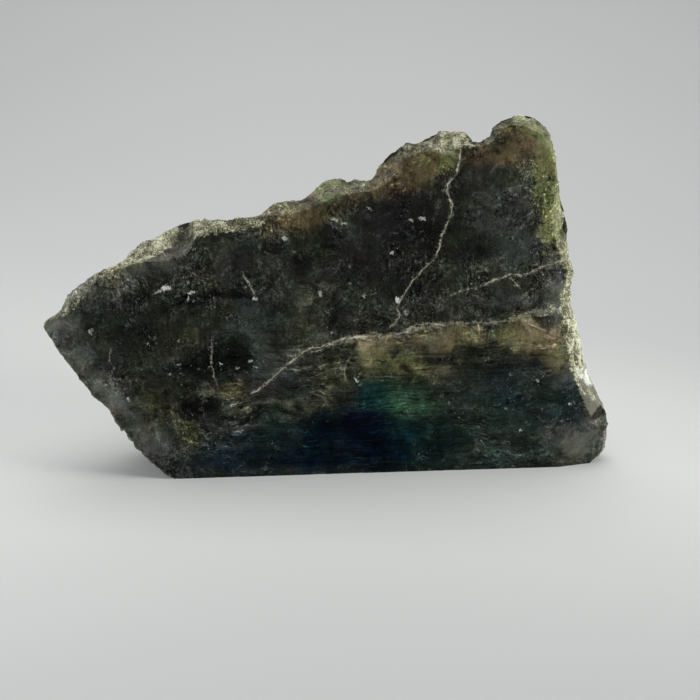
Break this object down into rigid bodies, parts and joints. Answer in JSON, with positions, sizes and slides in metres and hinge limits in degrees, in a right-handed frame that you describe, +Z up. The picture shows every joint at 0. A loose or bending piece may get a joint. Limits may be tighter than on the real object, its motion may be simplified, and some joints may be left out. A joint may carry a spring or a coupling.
{
  "type": "rough labradorite chunk",
  "caption": "Rough wedge of dark labradorite that stands on a sawn foot, with a ground front, a sawn lower left end, a pale ledge across the front, and a broken top, flank and back.",
  "frame": {"origin": "on the floor, under the middle of the stone's bounding box", "axes": "+X along the stone to the right as its ground front is faced, +Y from the ground front to the broken back, +Z up from the sawn foot"},
  "size_m": [0.1832, 0.0444, 0.114],
  "materials": {
    "labradorite": "dark grey-green feldspar, ground to a dull sheen on the front and broken rough elsewhere"
  },
  "bodies": {
    "root": {"labradorite_chunk": "labradorite"}
  },
  "joints": []
}
